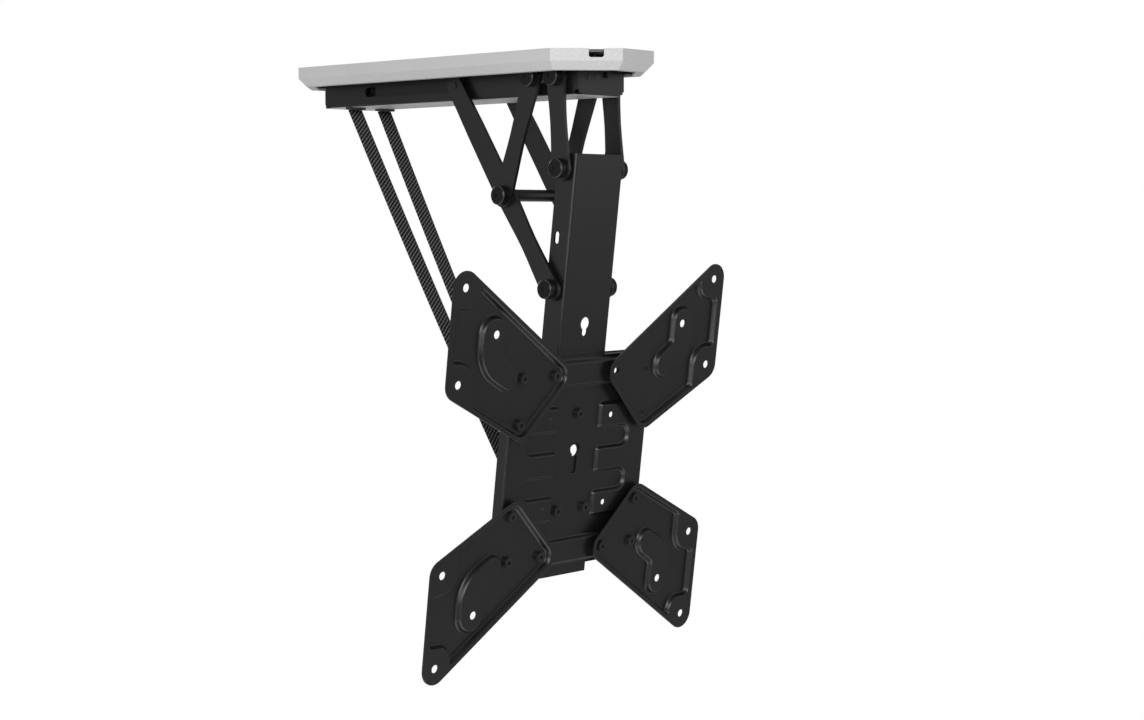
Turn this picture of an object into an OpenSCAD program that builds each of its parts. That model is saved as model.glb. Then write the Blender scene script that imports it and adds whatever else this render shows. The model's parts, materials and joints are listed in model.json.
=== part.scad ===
// Motorised flip-down ceiling lift for a flat screen, at rest with the screen hanging.
// X runs to the right, Y to the back and Z up, and the ceiling lies at Z = 0.
// A motor and screw pull a carriage along the beam; it folds three pairs of arms,
// and they swing the mast with its screen plate up until it lies flat under the beam.

/* [Ceiling cover] */
// Width of the cover
cover_w = 158; // [150:1:176]
// Length of the cover, front to back
cover_l = 516; // [500:1:560]
// Length cut off each side at the cover's corners
cover_cut = 54; // [40:1:58]
// Height of the cover's upright band
cover_band = 13; // [10:0.5:18]
// Height and depth of the bevel below the band
cover_bevel = 9; // [6:0.5:11]
// Wall of the cover
cover_wall = 2.5; // [1.5:0.1:3.5]
// Width of the cable notch in the cover's front corner
notch_w = 16; // [8:1:24]
// Height of the cable notch
notch_h = 9.5; // [6:0.5:11]

/* [Ceiling plate] */
// Thickness of the ceiling plate
plate_t = 3; // [2:0.5:4]
// Spacing of the ceiling bolts across the plate
anchor_dx = 120; // [116:1:126]
// Spacing of the ceiling bolts along the plate
anchor_dy = 400; // [320:1:404]
// Diameter of the holes for the ceiling bolts
anchor_d = 8.5; // [6:0.5:10]

/* [Beam] */
// Width of the channel beam
beam_w = 73; // [72:0.5:75]
// Depth of the beam's underside below the ceiling
beam_h = 46; // [45:0.5:47]
// Distance from the middle of the plate to the beam's front end
beam_front = 205.6; // [203:0.2:210]
// Distance from the middle of the plate to the back of the channel
beam_rear = 198; // [195:1:204]
// Length of the rear end cap
end_cap_l = 12; // [8:1:16]
// Thickness of the steel sheet
sheet = 2; // [1.5:0.1:2.2]
// Width of each flange at the top of the beam
flange_w = 13.5; // [12:0.5:13.5]
// Number of bolts in each flange
flange_bolts = 5; // [3:1:6]
// Height of the slots in the beam's sides
slot_h = 11; // [10:0.5:13]

/* [Linkage] */
// Distance of the slide pins in front of the plate's middle, lowered
slide_front = 25.5; // [23:0.5:26.5]
// Depth of the slide pins below the ceiling
slide_z = 30; // [29:0.5:31]
// Distance of the crank pivots in front of the plate's middle
crank_front = 148.5; // [147:0.5:150]
// Distance of the rocker pivots in front of the crank pivots
rocker_gap = 31; // [29:0.5:33]
// Depth of the crank and rocker pivots below the ceiling
pivot_z = 26; // [25:0.5:27]
// Length of a lift arm from the slide pin to its middle pivot
lift_upper = 146; // [144:0.5:147]
// Length of a lift arm from its middle pivot to the mast
lift_lower = 120.5; // [118:0.5:123]
// Length of a crank arm
crank_len = 133.5; // [132:0.5:135]
// Length of a rocker arm
rocker_len = 98.5; // [97:0.5:101]
// Distance between the two pivots on the mast
mast_span = 130; // [127:0.5:133]
// Way of the carriage from lowered to folded
travel = 152; // [140:1:152]
// Thickness of the arms
arm_t = 4; // [3:0.1:4]
// Radius of the arms' round ends
arm_end_r = 13.2; // [12.5:0.1:13.5]
// Radius of the lift arms' ends at the slide pins
slide_end_r = 11; // [10:0.5:12]
// Diameter of the pivot pins
pin_d = 8; // [6:0.5:9]
// Radius of the pivot caps
cap_r = 10.5; // [8.5:0.5:10.5]
// Length of the pivot caps
cap_h = 9; // [6:0.5:9]
// Diameter of the slide pins
slide_pin_d = 10.6; // [8:0.1:10.6]
// Diameter of the cross tube
tube_d = 13.2; // [11:0.1:13.3]

/* [Drive] */
// Depth of the screw's axis below the ceiling
screw_z = 26; // [25:0.5:27]
// Diameter of the lead screw
screw_d = 10; // [8:0.5:11]
// Diameter of the motor
motor_d = 35; // [28:1:36]
// Length of the motor
motor_l = 54; // [44:1:55]
// Length of the gearbox
gearbox_l = 28; // [22:1:29]

/* [Mast] */
// Width of the mast
mast_w = 76.6; // [76:0.2:77.2]
// Depth of the mast's side walls
mast_depth = 27; // [24:0.5:27]
// Top of the mast above the middle of the screen plate
mast_top = 338; // [333:1:340]
// Bottom of the mast below the middle of the screen plate
mast_bottom = 129; // [126:1:134]
// Height of the lower pivots above the middle of the screen plate
hanger_z = 190.4; // [188:0.4:194]
// Distance of the mast's pivots behind the front of its web
pivot_back = 16; // [15:0.5:16.5]

/* [Screen plate] */
// Width of the centre plate
centre_w = 224; // [218:1:230]
// Height of the centre plate
centre_h = 239; // [236:1:244]
// Depth of the pressed step in the centre plate
step_d = 4.4; // [3:0.1:5]
// Depth of the centre plate's side flanges
centre_flange = 14; // [10:0.5:16]
// Half the width of the sunk band up the middle
band_x = 34; // [33:0.5:36]
// Half the height of the sunk tongues
tongue_h = 11.8; // [10.5:0.1:12]
// Reach of the sunk tongues to each side
tongue_x = 83; // [76:0.5:88]
// Diameter of the bolt holes in the centre plate
centre_hole_d = 6.6; // [6.2:0.1:7]

/* [Screen arms] */
// Spacing of the outer screen holes, across and up
vesa_outer = 400; // [396:1:404]
// Height spacing of the second outer screen holes
vesa_low = 200; // [196:1:204]
// Spacing of the middle screen holes, across and up
vesa_middle = 300; // [296:1:304]
// Spacing of the holes in the centre plate, across and up
vesa_inner = 100; // [98:1:102]
// Diameter of the screen holes in the arms
vesa_d = 9; // [6.5:0.5:10]
// Edge of an arm round its corner holes
arm_edge = 17.5; // [16:0.5:18.5]
// Width of the rim round the pressed field
arm_rim = 6; // [5:0.5:7]
// Depth of the pressed field behind the rim
field_d = 6.1; // [5:0.1:7]
// Thickness of the bolt heads
head_h = 4; // [3:0.5:4.5]
// Diameter of the bolt heads
head_d = 12; // [10:0.5:13]

/* [Cable sleeves] */
// Width of a braided sleeve
sleeve_w = 21.4; // [18:0.1:22]
// Thickness of a braided sleeve
sleeve_t = 2.5; // [2:0.1:3.5]
// Distance of the sleeves' upper ends from the middle
sleeve_x = 23.2; // [20:0.1:24]
// Distance of the sleeves' lower ends from the middle
sleeve_low_x = 12; // [11.5:0.1:13]
// Distance of the sleeves' upper ends behind the plate's middle
sleeve_rear = 166; // [160:1:168]
// Distance of the sleeves' lower ends below the middle of the screen plate
sleeve_low = 115; // [110:1:117]

/* [Hidden] */
$fn = 64;
black = [0.13, 0.13, 0.135];
dark = [0.2, 0.2, 0.21];
steel = [0.62, 0.63, 0.65];
white = [0.93, 0.93, 0.92];

// Running clearance round pins, and the free gap between parts that slide past each other
fit = 0.05;
face_gap = 0.2;
seat_gap = 0.1;
soft_gap = 0.3;
over = 1;
arc_step = 12;
end_share = 0.94;

// Side layers, measured from the middle plane
beam_x = beam_w / 2;
beam_in = beam_x - sheet;
mast_x = mast_w / 2;
mast_in = mast_x - sheet;
arm_side_gap = 3.2;
arm_x0 = max(beam_x, mast_x) + arm_side_gap;
arm_x1 = arm_x0 + arm_t;
crank_x0 = arm_x1 + face_gap;
crank_x1 = crank_x0 + arm_t;
outer_cap_x = crank_x1 + face_gap;
inner_cap_x = arm_x1 + face_gap;
pin_r = pin_d / 2;
nut_r = 8;
nut_t = 3;
cap_clear = 1.1;

// Points of the linkage as [y, z], with the mast's frame
slide = [-slide_front, -slide_z];
crank = [-crank_front, -pivot_z];
rocker = [-crank_front - rocker_gap, -pivot_z];
middle = meet(slide, lift_upper, crank, crank_len);
hanger = slide + (middle - slide) * (lift_upper + lift_lower) / lift_upper;
anchor = meet(hanger, mast_span, rocker, rocker_len);
mast_tilt = atan2(hanger[0] - anchor[0], anchor[1] - hanger[1]);

// Depths of the pressed parts in the mast's frame, from the front to the back
pad_y = -1;
field_y = pad_y + field_d;
centre_y = field_y + sheet;
low_y = centre_y + step_d;
web_y = low_y + sheet;
web_back = web_y + sheet;
mast_back = web_y + mast_depth;
mast_pivot_y = web_y + pivot_back;
mast_origin = hanger - turned([mast_pivot_y, hanger_z], mast_tilt);

// Beam and drive
plate_z = -plate_t;
flange_z = plate_z - sheet;
web_z = -beam_h + sheet;
flange_x = beam_x + flange_w;
bolt_x = beam_x + flange_w / 2;
beam_end_margin = 15;
bolt_span = beam_front + beam_rear - 2 * beam_end_margin;
bolt_r = 2.4;
bolt_hole_r = bolt_r + 0.2;
bolt_head_r = 4.6;
bolt_head_t = 3;
slot_end_gap = 2;
screw_r = screw_d / 2;
rail_x = beam_in - 3;
rail_wall = 3;
rail_top = -19;
rail_front = -62;
rail_rear = 121;
rail_bolt_x = rail_x - rail_wall - 10.5;
rail_bolt_pitch = 60;
board_t = 1.6;
end_plate_y = -beam_front + sheet;
motor_front = 19.6 - beam_front;
gearbox_y = motor_front + motor_l;
bracket_y = gearbox_y + gearbox_l;
bracket_t = 3;
coupler_y = bracket_y + bracket_t + 2;
coupler_l = 19;
coupler_r = 9;
block_t = 9;
front_block_y = -75;
rear_block_y = 143;
block_x = 20;
bearing_r = 11;
bearing_t = 5;
carriage_front = -60;
carriage_rear = -16;
leg_t = 2;
leg_x = rail_x + 0.5;
bridge_z = rail_top + 5.5;
bridge_t = 3;
nut_y = -57;
drive_nut_l = 24;
drive_nut_r = 8;

// Sleeves, as [y, z] points of their middle line
grommet_t = 2.5;
grommet_edge = 2;
cable_slot_w = 19;
cable_slot_l = 6;
clamp_t = 5;
clamp_h = 14;
clamp_side_gap = 1.2;
clamp_bolts = [-1, 1] * (mast_in - clamp_side_gap - bolt_head_r - 0.5);
sleeve_top = [sleeve_rear, -beam_h - grommet_t - soft_gap - sleeve_t / 2];
sleeve_bottom = mast_origin
    + turned([web_back + clamp_t + soft_gap + sleeve_t / 2, -sleeve_low], mast_tilt);

// Screen arm: corner holes, then the outlines of the arm, its pressed field and its kidney pad
fix_x = centre_w / 2 - 12;
fix_z = centre_h / 2 - 19.5;
fixing_holes = [[fix_x / 2, fix_z], [fix_x, fix_z], [fix_x, fix_z / 2]];
corner_holes = [[vesa_outer, vesa_outer] / 2, fixing_holes[0], fixing_holes[2], [vesa_outer, vesa_low] / 2];
fixing_d = 8;
field_corners = swollen(corner_holes, arm_edge - arm_rim);
arm_outline = rounded(swollen(corner_holes, arm_edge));
pad_r = 22.5;
pad_x = vesa_outer / 2 - pad_r;
bulge_x = vesa_outer / 2 + 9.5;
field_outline = [
    [pad_x, height_at(field_corners[2], field_corners[3], pad_x), 5],
    [pad_x, vesa_low / 2 + pad_r, pad_r],
    [bulge_x, vesa_low / 2 + pad_r, 5],
    [bulge_x, vesa_outer / 2 - pad_r, 7],
    [pad_x, vesa_outer / 2 - pad_r, pad_r - 6],
    [pad_x, height_at(field_corners[0], field_corners[1], pad_x), 2],
    field_corners[1],
    field_corners[2]
];
kidney = moved([
    [-37.5, -69.5, 13], [19.5, -39, 42], [19.5, 18, 17.5], [-13.5, 18, 13], [-13, -21, 8], [-37.5, -37.3, 15]
], vesa_middle / 2);

// Centre plate: rows of sunk tongues and the outline of everything that is sunk
tongue_pitch = centre_h * 0.209;
tongue_rows = [-1.5, -0.5, 0.5, 1.5] * tongue_pitch;
tongue_fillet = 3;
sunk_right = [for (i = [0 : len(tongue_rows) - 1]) each concat(
    [[tongue_x, tongue_rows[i] - tongue_h, tongue_h * 0.95],
     [tongue_x, tongue_rows[i] + tongue_h, tongue_h * 0.95]],
    i == len(tongue_rows) - 1 ? [] :
    [[band_x, tongue_rows[i] + tongue_h, tongue_fillet],
     [band_x, tongue_rows[i + 1] - tongue_h, tongue_fillet]])];
sunk = concat(sunk_right, flipped(sunk_right));
edge_strip = 6.5;
centre_screws = [[0, 54.3], [-22.3, -53.6], [22.3, -53.6]];
key_slot = 8;
key_r = 7.5;
key_z = 15;
key_low = -13.5;
mast_key_r = 7.2;
mast_key_z = 153.5;
mast_key_low = 139.6;
back_hole_r = 6.6;
back_hole_z = 12.1;
mast_slot = [6.4, 13.4];
mast_slot_y = 18.5;
mast_slot_z = 245.7;

// Plane geometry
function unit(v) = v / norm(v);
function side(a, b) = a[0] * b[1] - a[1] * b[0];
function left_of(v) = [-v[1], v[0]];
function flat(c) = [c[0], c[1]];
function turned(v, a) = [v[0] * cos(a) - v[1] * sin(a), v[0] * sin(a) + v[1] * cos(a)];
function moved(corners, d) = [for (c = corners) [c[0] + d, c[1] + d, c[2]]];
function reversed(list) = [for (i = [len(list) - 1 : -1 : 0]) list[i]];
function flipped(corners) = [for (c = reversed(corners)) [-c[0], c[1], c[2]]];
function height_at(a, b, x) = a[1] + (b[1] - a[1]) * (x - a[0]) / (b[0] - a[0]);

// The point at distance r from p and s from q, on the lower side of the line between them
function meet(p, r, q, s) =
    let (d = norm(q - p), u = unit(q - p), a = (d * d + r * r - s * s) / (2 * d), h = sqrt(r * r - a * a))
    p + u * a + left_of(u) * h;

// Corners moved inwards by d, which may be negative, each [x, y, radius], anticlockwise
function shrunk(corners, d) = [for (i = [0 : len(corners) - 1])
    let (n = len(corners), a = flat(corners[(i + n - 1) % n]), p = flat(corners[i]),
         b = flat(corners[(i + 1) % n]), r = corners[i][2],
         s = left_of(unit(p - a)), t = left_of(unit(b - p)), q = p + (s + t) * d / (1 + s * t))
    [q[0], q[1], r == 0 ? 0 : side(p - a, b - p) > 0 ? max(r - d, 0.2) : r + d]];

// Corners of the outline that runs at distance r round the given points
function swollen(points, r) = [for (c = shrunk([for (p = points) [p[0], p[1], 0]], -r)) [c[0], c[1], r]];

// Outline points of a polygon whose corners [x, y, radius] are rounded
function rounded(corners) = [for (i = [0 : len(corners) - 1]) each
    let (n = len(corners))
    corner_arc(flat(corners[(i + n - 1) % n]), flat(corners[i]), flat(corners[(i + 1) % n]), corners[i][2])];

function corner_arc(a, p, b, r) = r == 0 ? [p] :
    let (u = unit(a - p), v = unit(b - p), half = acos(u * v) / 2, c = p + unit(u + v) * r / sin(half),
         start = p + u * r / tan(half) - c, sweep = (180 - 2 * half) * sign(side(v, u)),
         n = max(2, ceil(abs(sweep) / arc_step)))
    [for (k = [0 : n]) c + turned(start, sweep * k / n)];

// Outline of a flat arm of length l with round ends and [distance, half width, radius] stations
function strap(l, r0, r1, stations) = rounded(concat(
    [[-r0, -r0, r0 * end_share]], [for (s = stations) [s[0], -s[1], s[2]]], [[l + r1, -r1, r1 * end_share]],
    [[l + r1, r1, r1 * end_share]], reversed(stations), [[-r0, r0, r0 * end_share]]));

function octagon(w, l, c) = [
    [w / 2, c - l / 2, 0], [w / 2, l / 2 - c, 0], [w / 2 - c, l / 2, 0], [c - w / 2, l / 2, 0],
    [-w / 2, l / 2 - c, 0], [-w / 2, c - l / 2, 0], [c - w / 2, -l / 2, 0], [w / 2 - c, -l / 2, 0]
];

// Building blocks
module both() {
    children();
    mirror([1, 0, 0]) children();
}

module block(x, y, z) {
    translate([x[0], y[0], z[0]]) cube([x[1] - x[0], y[1] - y[0], z[1] - z[0]]);
}

module rod_x(at, r, x0, x1) {
    translate([x0, at[0], at[1]]) rotate([0, 90, 0]) cylinder(h = x1 - x0, r = r);
}

module rod_y(x, z, r, y0, y1) {
    translate([x, y0, z]) rotate([-90, 0, 0]) cylinder(h = y1 - y0, r = r);
}

module plate_x(at, x0, x1) {
    translate([x0, at[0], at[1]]) rotate([90, 0, 90]) linear_extrude(x1 - x0) children();
}

module plate_y(y0, y1) {
    translate([0, y1, 0]) rotate([90, 0, 0]) linear_extrude(y1 - y0) children();
}

module layer(corners, z0, z1) {
    translate([0, 0, z0]) linear_extrude(z1 - z0) polygon([for (c = corners) flat(c)]);
}

module in_mast() {
    translate([0, mast_origin[0], mast_origin[1]]) rotate([mast_tilt, 0, 0]) children();
}

module keyhole(y0, y1, r, z_round, z_low) {
    rod_y(0, z_round, r, y0, y1);
    rod_y(0, z_low + key_slot / 2, key_slot / 2, y0, y1);
    block([-key_slot / 2, key_slot / 2], [y0, y1], [z_low + key_slot / 2, z_round]);
}

module cable_notch() {
    corner_mid = [cover_cut - cover_w, cover_cut - cover_l] / 2;
    notch_shift = 7.35;
    notch_r = 2.5;
    translate([corner_mid[0] + notch_shift, corner_mid[1] - notch_shift, 0]) rotate([0, 0, -45])
        plate_y(-cover_cut / 2, cover_cut / 4) polygon(rounded([
            [-notch_w / 2, -notch_h, notch_r], [notch_w / 2, -notch_h, notch_r],
            [notch_w / 2, over, 0], [-notch_w / 2, over, 0]
        ]));
}

// Ceiling unit
module ceiling_plate() {
    color(black) difference() {
        layer(shrunk(octagon(cover_w, cover_l, cover_cut), cover_wall + soft_gap), plate_z, 0);
        for (x = [-1, 1], y = [-1, 1]) translate([x * anchor_dx / 2, y * anchor_dy / 2, plate_z - over])
            cylinder(h = plate_t + 2 * over, d = anchor_d);
        at_flange_bolts() translate([0, 0, plate_z - over])
            cylinder(h = plate_t + 2 * over, r = bolt_hole_r);
        cable_notch();
    }
}

module cover_solid(inset, z_top, z_bottom, bevel) {
    outline = shrunk(octagon(cover_w, cover_l, cover_cut), inset);
    layer(outline, -cover_band, z_top);
    hull() {
        layer(outline, -cover_band - 0.01, -cover_band);
        layer(shrunk(outline, bevel), z_bottom, z_bottom + 0.01);
    }
}

module housing_cover() {
    bottom = -cover_band - cover_bevel;
    inset = cover_w / 2 - outer_cap_x - cap_h - cap_clear;
    color(white) difference() {
        cover_solid(0, 0, bottom, cover_bevel);
        cover_solid(cover_wall, over, bottom + cover_wall, cover_bevel - cover_wall);
        layer(shrunk(octagon(cover_w, cover_l, cover_cut), inset), bottom - over, 0);
        cable_notch();
    }
}

module cover_clips() {
    inner = cover_w / 2 - cover_wall - seat_gap;
    clip_t = 1.5;
    clip_w = 16;
    clip_reach = 12;
    clip_y = 0.6 * (cover_l / 2 - cover_cut);
    color(steel) for (y = [-clip_y, 0, clip_y]) both() {
        block([inner - clip_reach, inner], [y - clip_w / 2, y + clip_w / 2], [plate_z - clip_t, plate_z]);
        block([inner - clip_t, inner], [y - clip_w / 2, y + clip_w / 2], [-cover_band, plate_z]);
    }
}

module at_flange_bolts() {
    pitch = bolt_span / (flange_bolts - 1);
    for (i = [0 : flange_bolts - 1]) both()
        translate([bolt_x, -beam_front + beam_end_margin + pitch * i, 0]) children();
}

module channel_beam() {
    section = rounded([
        [-flange_x, flange_z, 0], [-beam_x, flange_z, 1], [-beam_x, -beam_h, 3], [beam_x, -beam_h, 3],
        [beam_x, flange_z, 1], [flange_x, flange_z, 0], [flange_x, plate_z, 0], [beam_in, plate_z, 0],
        [beam_in, web_z, 1], [-beam_in, web_z, 1], [-beam_in, plate_z, 0], [-flange_x, plate_z, 0]
    ]);
    slot_r = slot_h / 2;
    slot_y0 = slide[0] - slot_end_gap;
    slot_y1 = slide[0] + travel + slot_end_gap;
    relief = 5.5;
    color(black) difference() {
        plate_y(-beam_front, beam_rear) polygon(section);
        both() {
            block([beam_in - over, beam_x + over], [slot_y0, slot_y1],
                [-slide_z - slot_r, slot_r - slide_z]);
            for (y = [slot_y0, slot_y1]) rod_x([y, slide[1]], slot_r, beam_in - over, beam_x + over);
            for (p = [crank, rocker]) rod_x(p, pin_r + fit, beam_in - over, beam_x + over);
            block([beam_x - relief, beam_x + over], [-beam_front - over, -beam_front + relief],
                [-beam_h - over, -beam_h + relief - 0.5]);
            cable_slot(0, -beam_h - over, web_z + over);
        }
        at_flange_bolts() translate([0, 0, flange_z - over]) cylinder(h = sheet + 2 * over, r = bolt_hole_r);
        at_rail_bolts() translate([0, 0, -beam_h - over]) cylinder(h = sheet + 2 * over, r = bolt_hole_r);
    }
}

module cable_slot(edge, z0, z1) {
    half_w = cable_slot_w / 2 + edge;
    half_l = cable_slot_l / 2 + edge;
    block([sleeve_x - half_w, sleeve_x + half_w], [sleeve_rear - half_l, sleeve_rear + half_l], [z0, z1]);
}

module beam_bolts() {
    color(steel) at_flange_bolts() {
        translate([0, 0, flange_z - bolt_head_t]) cylinder(h = bolt_head_t, r = bolt_head_r, $fn = 6);
        translate([0, 0, flange_z - over]) cylinder(h = sheet + plate_t + over - seat_gap, r = bolt_r);
    }
}

receiver_at = [-20, -27];
status_at = [-7, -26];
receiver_r = 3;
status_r = 1.9;
socket_x = [0.5, 11];
socket_z = [-28, -19];
socket_l = 12;
socket_wall = 1.2;
panel_depth = 12;

module front_end_plate() {
    color(black) difference() {
        block([seat_gap - beam_in, beam_in - seat_gap], [-beam_front, end_plate_y],
            [web_z + seat_gap, plate_z - seat_gap]);
        rod_y(receiver_at[0], receiver_at[1], receiver_r + seat_gap, -beam_front - over, end_plate_y + over);
        rod_y(status_at[0], status_at[1], status_r + seat_gap, -beam_front - over, end_plate_y + over);
        block([socket_x[0] - seat_gap, socket_x[1] + seat_gap], [-beam_front - over, end_plate_y + over],
            [socket_z[0] - seat_gap, socket_z[1] + seat_gap]);
    }
}

module rear_end_cap() {
    cap_y = beam_rear + end_cap_l;
    outline = rounded([
        [-beam_x, beam_rear, 0], [beam_x, beam_rear, 0], [beam_x, cap_y, 6], [-beam_x, cap_y, 6]
    ]);
    color(black) difference() {
        layer(outline, -beam_h, plate_z);
        block([sheet - beam_x, beam_x - sheet], [beam_rear - over, cap_y - sheet], [web_z, plate_z - sheet]);
        both() block([beam_x - 5, beam_x + over], [cap_y - 5, cap_y + over], [-beam_h - over, -beam_h + 4]);
    }
}

module receiver_lens() {
    color([0.12, 0.02, 0.03])
        rod_y(receiver_at[0], receiver_at[1], receiver_r, -beam_front - 0.6, -beam_front + panel_depth);
}

module status_light() {
    color([0.25, 0.25, 0.27])
        rod_y(status_at[0], status_at[1], status_r, -beam_front - 0.4, -beam_front + panel_depth);
}

module service_socket() {
    color([0.06, 0.06, 0.065]) difference() {
        block(socket_x, [-beam_front - 0.3, -beam_front + socket_l], socket_z);
        block([socket_x[0] + socket_wall, socket_x[1] - socket_wall],
            [-beam_front - over, -beam_front + socket_l - 2 * socket_wall],
            [socket_z[0] + socket_wall, socket_z[1] - socket_wall]);
    }
}

module receiver_board() {
    board_y = -beam_front + panel_depth;
    color([0.05, 0.3, 0.15]) {
        block([receiver_at[0] - 7, socket_x[1] + 4], [board_y, board_y + board_t],
            [socket_z[0] - 7, socket_z[1] + 6]);
        for (p = [[receiver_at[0] - 4, socket_z[0] - 4], [socket_x[1] + 1.5, socket_z[1] + 3.5]])
            rod_y(p[0], p[1], 2, end_plate_y, board_y);
    }
}

module power_inlet() {
    inlet_x = [-30, -12];
    inlet_l = 20;
    inlet_mid = -(beam_front + cover_l / 2 - cover_wall) / 2;
    inlet_y = [inlet_mid - inlet_l / 2, inlet_mid + inlet_l / 2];
    inlet_z = [plate_z - 11, plate_z];
    inlet_wall = 2.5;
    color([0.06, 0.06, 0.065]) difference() {
        block(inlet_x, inlet_y, inlet_z);
        block([inlet_x[0] - over, inlet_x[0] + 12], [inlet_y[0] + inlet_wall, inlet_y[1] - inlet_wall],
            [inlet_z[0] + inlet_wall, inlet_z[1] - inlet_wall]);
    }
}

// Drive
module drive_motor() {
    color(dark) {
        rod_y(0, -screw_z, motor_d / 2, motor_front, gearbox_y);
        rod_y(0, -screw_z, 6, motor_front - 3, motor_front);
    }
}

module gearbox() {
    color(steel) difference() {
        rod_y(0, -screw_z, motor_d / 2 - 0.5, gearbox_y, bracket_y);
        rod_y(0, -screw_z, screw_r - 1 + fit, bracket_y - 10, bracket_y + over);
    }
}

module motor_bracket() {
    bracket_x = motor_d / 2 + 4;
    foot_l = 14;
    color(steel) difference() {
        union() {
            block([-bracket_x, bracket_x], [bracket_y, bracket_y + bracket_t], [web_z, plate_z - 4]);
            block([-bracket_x, bracket_x], [bracket_y, bracket_y + foot_l], [web_z, web_z + bracket_t]);
        }
        rod_y(0, -screw_z, screw_r + 1, bracket_y - over, bracket_y + bracket_t + over);
    }
}

module bearing_block(y) {
    color(steel) difference() {
        block([-block_x, block_x], [y, y + block_t], [web_z, bridge_z]);
        rod_y(0, -screw_z, bearing_r + fit, y + (block_t - bearing_t) / 2, y + (block_t + bearing_t) / 2);
        rod_y(0, -screw_z, screw_r + 1, y - over, y + block_t + over);
    }
}

module front_bearing_block() {
    bearing_block(front_block_y);
}

module rear_bearing_block() {
    bearing_block(rear_block_y);
}

module screw_bearings() {
    color([0.75, 0.76, 0.78]) for (y = [front_block_y, rear_block_y]) difference() {
        rod_y(0, -screw_z, bearing_r, y + (block_t - bearing_t) / 2, y + (block_t + bearing_t) / 2);
        rod_y(0, -screw_z, screw_r + fit, y, y + block_t);
    }
}

module guide_rail() {
    rail_in = rail_x - rail_wall;
    section = rounded([
        [-rail_x, web_z, 1], [rail_x, web_z, 1], [rail_x, rail_top, 0], [rail_in, rail_top, 0],
        [rail_in, web_z + rail_wall, 1], [-rail_in, web_z + rail_wall, 1],
        [-rail_in, rail_top, 0], [-rail_x, rail_top, 0]
    ]);
    color(dark) difference() {
        plate_y(rail_front, rail_rear) polygon(section);
        at_rail_bolts() translate([0, 0, web_z - over]) cylinder(h = rail_wall + 2 * over, r = bolt_hole_r);
    }
}

module at_rail_bolts() {
    for (i = [0 : 2]) both() translate([rail_bolt_x, rail_rear - 11 - rail_bolt_pitch * i, 0]) children();
}

module rail_bolts() {
    head_t = 2;
    color(steel) at_rail_bolts() {
        translate([0, 0, web_z + rail_wall]) cylinder(h = head_t, r = bolt_head_r - 0.6);
        translate([0, 0, -beam_h]) cylinder(h = sheet + rail_wall + head_t, r = bolt_r);
    }
}

module control_board() {
    post_h = 3;
    board_x = beam_in - 6.5;
    board_y0 = beam_rear - 36;
    board_y1 = beam_rear - 4;
    board_z = web_z + post_h;
    parts_z = board_z + board_t;
    color([0.05, 0.3, 0.15]) {
        block([-board_x, board_x], [board_y0, board_y1], [board_z, parts_z]);
        for (x = [4 - board_x, board_x - 4], y = [board_y0 + 14, board_y1 - 4])
            translate([x, y, web_z]) cylinder(h = post_h, r = 2.5);
        for (x = [-22, -10]) block([x - 5, x + 5], [board_y1 - 18, board_y1 - 2], [parts_z, parts_z + 14]);
        block([0, 22], [board_y1 - 26, board_y1 - 4], [parts_z, parts_z + 18]);
        for (y = [board_y1 - 27, board_y1 - 22.5]) translate([-18, y, parts_z]) cylinder(h = 9, r = 2);
    }
}

module limit_sensors() {
    sensor_t = 4;
    color([0.08, 0.08, 0.3]) {
        block([-6, 6], [front_block_y, front_block_y + block_t], [bridge_z, bridge_z + sensor_t]);
        block([-6, 6], [rear_block_y, rear_block_y + block_t], [bridge_z, bridge_z + sensor_t]);
    }
}

module lead_screw() {
    color([0.7, 0.71, 0.73]) rod_y(0, -screw_z, screw_r, coupler_y + coupler_l / 2, rear_block_y + block_t);
}

module shaft_coupler() {
    color([0.75, 0.76, 0.78]) difference() {
        rod_y(0, -screw_z, coupler_r, coupler_y, coupler_y + coupler_l);
        rod_y(0, -screw_z, screw_r + fit, coupler_y + coupler_l / 2, coupler_y + coupler_l + over);
        rod_y(0, -screw_z, screw_r - 1 + fit, coupler_y - over, coupler_y + coupler_l / 2 + over);
    }
}

module gearbox_shaft() {
    color(steel) rod_y(0, -screw_z, screw_r - 1, bracket_y - 9, coupler_y + coupler_l / 2 - seat_gap);
}

module carriage_bridge() {
    leg_bottom = -slide_z - 7;
    wall_y = nut_y + drive_nut_l / 2;
    color(steel) difference() {
        union() {
            block([-leg_x - leg_t, leg_x + leg_t], [carriage_front, carriage_rear],
                [bridge_z, bridge_z + bridge_t]);
            both() block([leg_x, leg_x + leg_t], [carriage_front, carriage_rear],
                [leg_bottom, bridge_z + over]);
            block([-15, 15], [wall_y, wall_y + 4], [-screw_z - 12, bridge_z + over]);
        }
        both() rod_x(slide, slide_pin_d / 2 + fit, leg_x - over, leg_x + leg_t + over);
        rod_y(0, -screw_z, drive_nut_r + fit, wall_y - over, wall_y + 4 + over);
    }
}

module drive_nut() {
    wall_y = nut_y + drive_nut_l / 2;
    color([0.72, 0.56, 0.28]) difference() {
        union() {
            rod_y(0, -screw_z, drive_nut_r, nut_y, nut_y + drive_nut_l);
            rod_y(0, -screw_z, drive_nut_r + 3.5, wall_y - 4, wall_y);
        }
        rod_y(0, -screw_z, screw_r + 0.1, nut_y - over, nut_y + drive_nut_l + over);
    }
}

module slide_pins() {
    color(steel) both() rod_x(slide, slide_pin_d / 2, rail_x + 0.4, arm_x0 - 1.4);
}

module slide_shoes() {
    shoe_x = [rail_x - rail_wall - 2, leg_x - seat_gap];
    color(white) both() for (y = [carriage_front, carriage_rear - 12])
        block(shoe_x, [y, y + 12], [rail_top + seat_gap, bridge_z]);
}

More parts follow.
